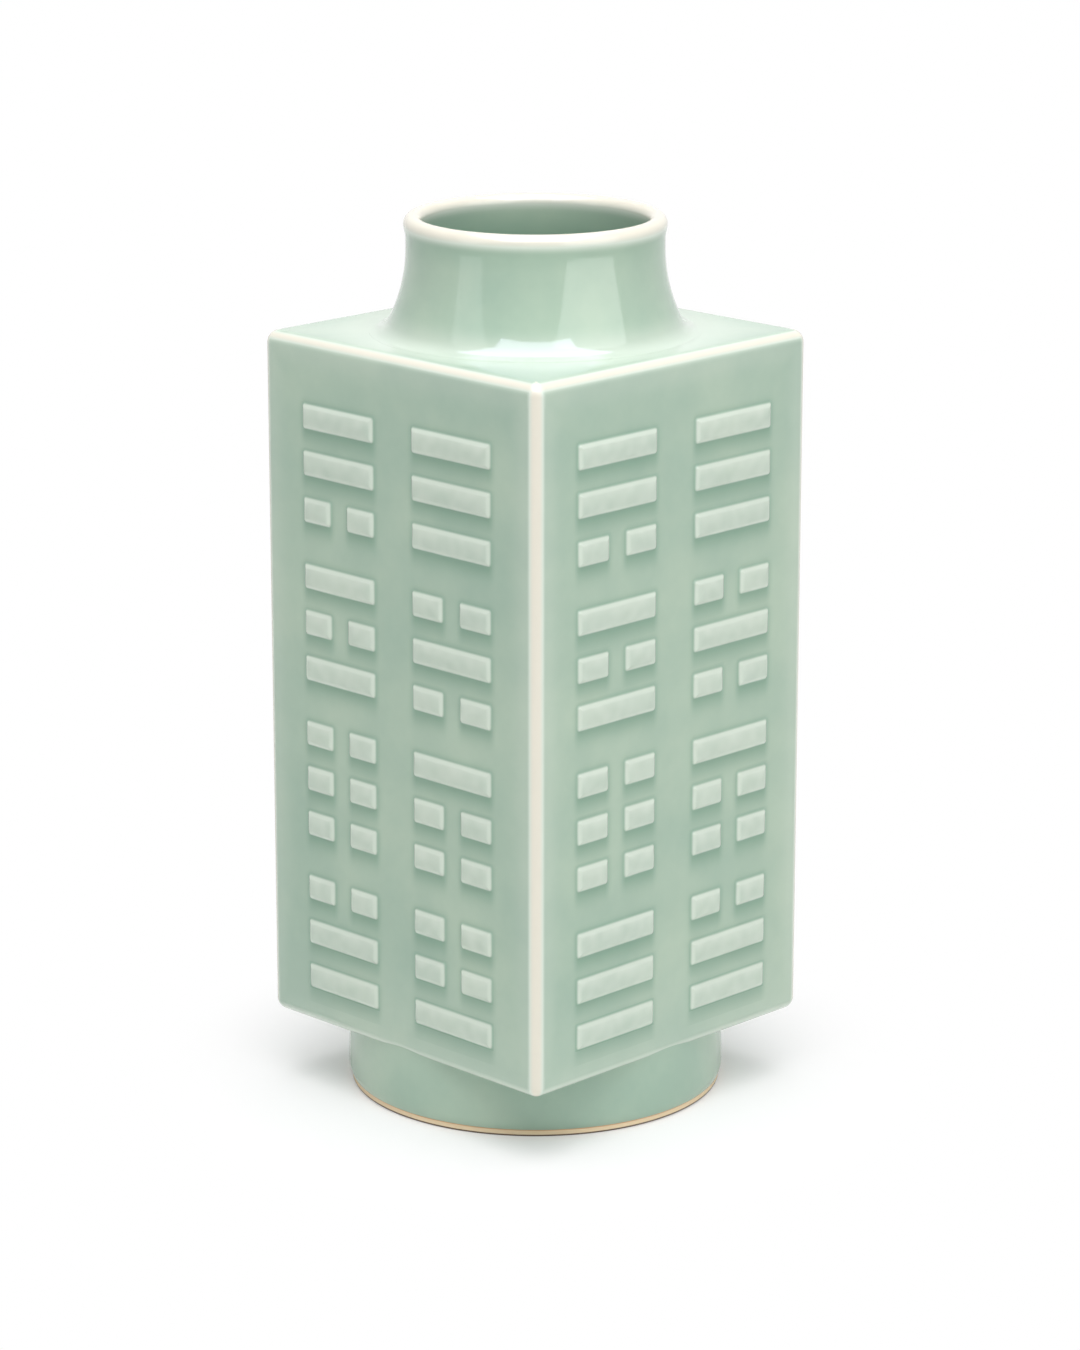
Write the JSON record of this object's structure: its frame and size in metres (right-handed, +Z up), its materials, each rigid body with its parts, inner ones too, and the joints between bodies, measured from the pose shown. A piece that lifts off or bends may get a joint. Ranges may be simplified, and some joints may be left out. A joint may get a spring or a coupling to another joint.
{
  "type": "cong vase",
  "caption": "Square celadon porcelain vase with a round neck and foot and low raised trigram bars on its four faces.",
  "frame": {"origin": "centre of the circle on which the foot stands", "axes": "+Z up through the mouth, -Y out of the front face, +X out of the right face; the picture looks at the edge between these two faces"},
  "size_m": [0.1226, 0.1226, 0.28],
  "materials": {
    "celadon_glaze": "pale sea-green celadon glaze over white porcelain, glossy, thinning to cream on every edge and pooling deeper green around the raised bars",
    "foot_porcelain": "the same celadon glaze, with a bare tan-burnt clay band along the standing rim"
  },
  "bodies": {
    "root": {"base_slab": "celadon_glaze", "foot_ring": "foot_porcelain", "neck": "celadon_glaze", "shoulder_slab": "celadon_glaze", "trigram_back_1_wind": "celadon_glaze", "trigram_back_2_fire": "celadon_glaze", "trigram_back_3_earth": "celadon_glaze", "trigram_back_4_lake": "celadon_glaze", "trigram_back_5_heaven": "celadon_glaze", "trigram_back_6_water": "celadon_glaze", "trigram_back_7_mountain": "celadon_glaze", "trigram_back_8_thunder": "celadon_glaze", "trigram_front_1_wind": "celadon_glaze", "trigram_front_2_fire": "celadon_glaze", "trigram_front_3_earth": "celadon_glaze", "trigram_front_4_lake": "celadon_glaze", "trigram_front_5_heaven": "celadon_glaze", "trigram_front_6_water": "celadon_glaze", "trigram_front_7_mountain": "celadon_glaze", "trigram_front_8_thunder": "celadon_glaze", "trigram_left_1_wind": "celadon_glaze", "trigram_left_2_fire": "celadon_glaze", "trigram_left_3_earth": "celadon_glaze", "trigram_left_4_lake": "celadon_glaze", "trigram_left_5_heaven": "celadon_glaze", "trigram_left_6_water": "celadon_glaze", "trigram_left_7_mountain": "celadon_glaze", "trigram_left_8_thunder": "celadon_glaze", "trigram_right_1_wind": "celadon_glaze", "trigram_right_2_fire": "celadon_glaze", "trigram_right_3_earth": "celadon_glaze", "trigram_right_4_heaven": "celadon_glaze", "trigram_right_5_heaven": "celadon_glaze", "trigram_right_6_water": "celadon_glaze", "trigram_right_7_mountain": "celadon_glaze", "trigram_right_8_lake": "celadon_glaze", "wall_back": "celadon_glaze", "wall_front": "celadon_glaze", "wall_left": "celadon_glaze", "wall_right": "celadon_glaze"}
  },
  "joints": []
}
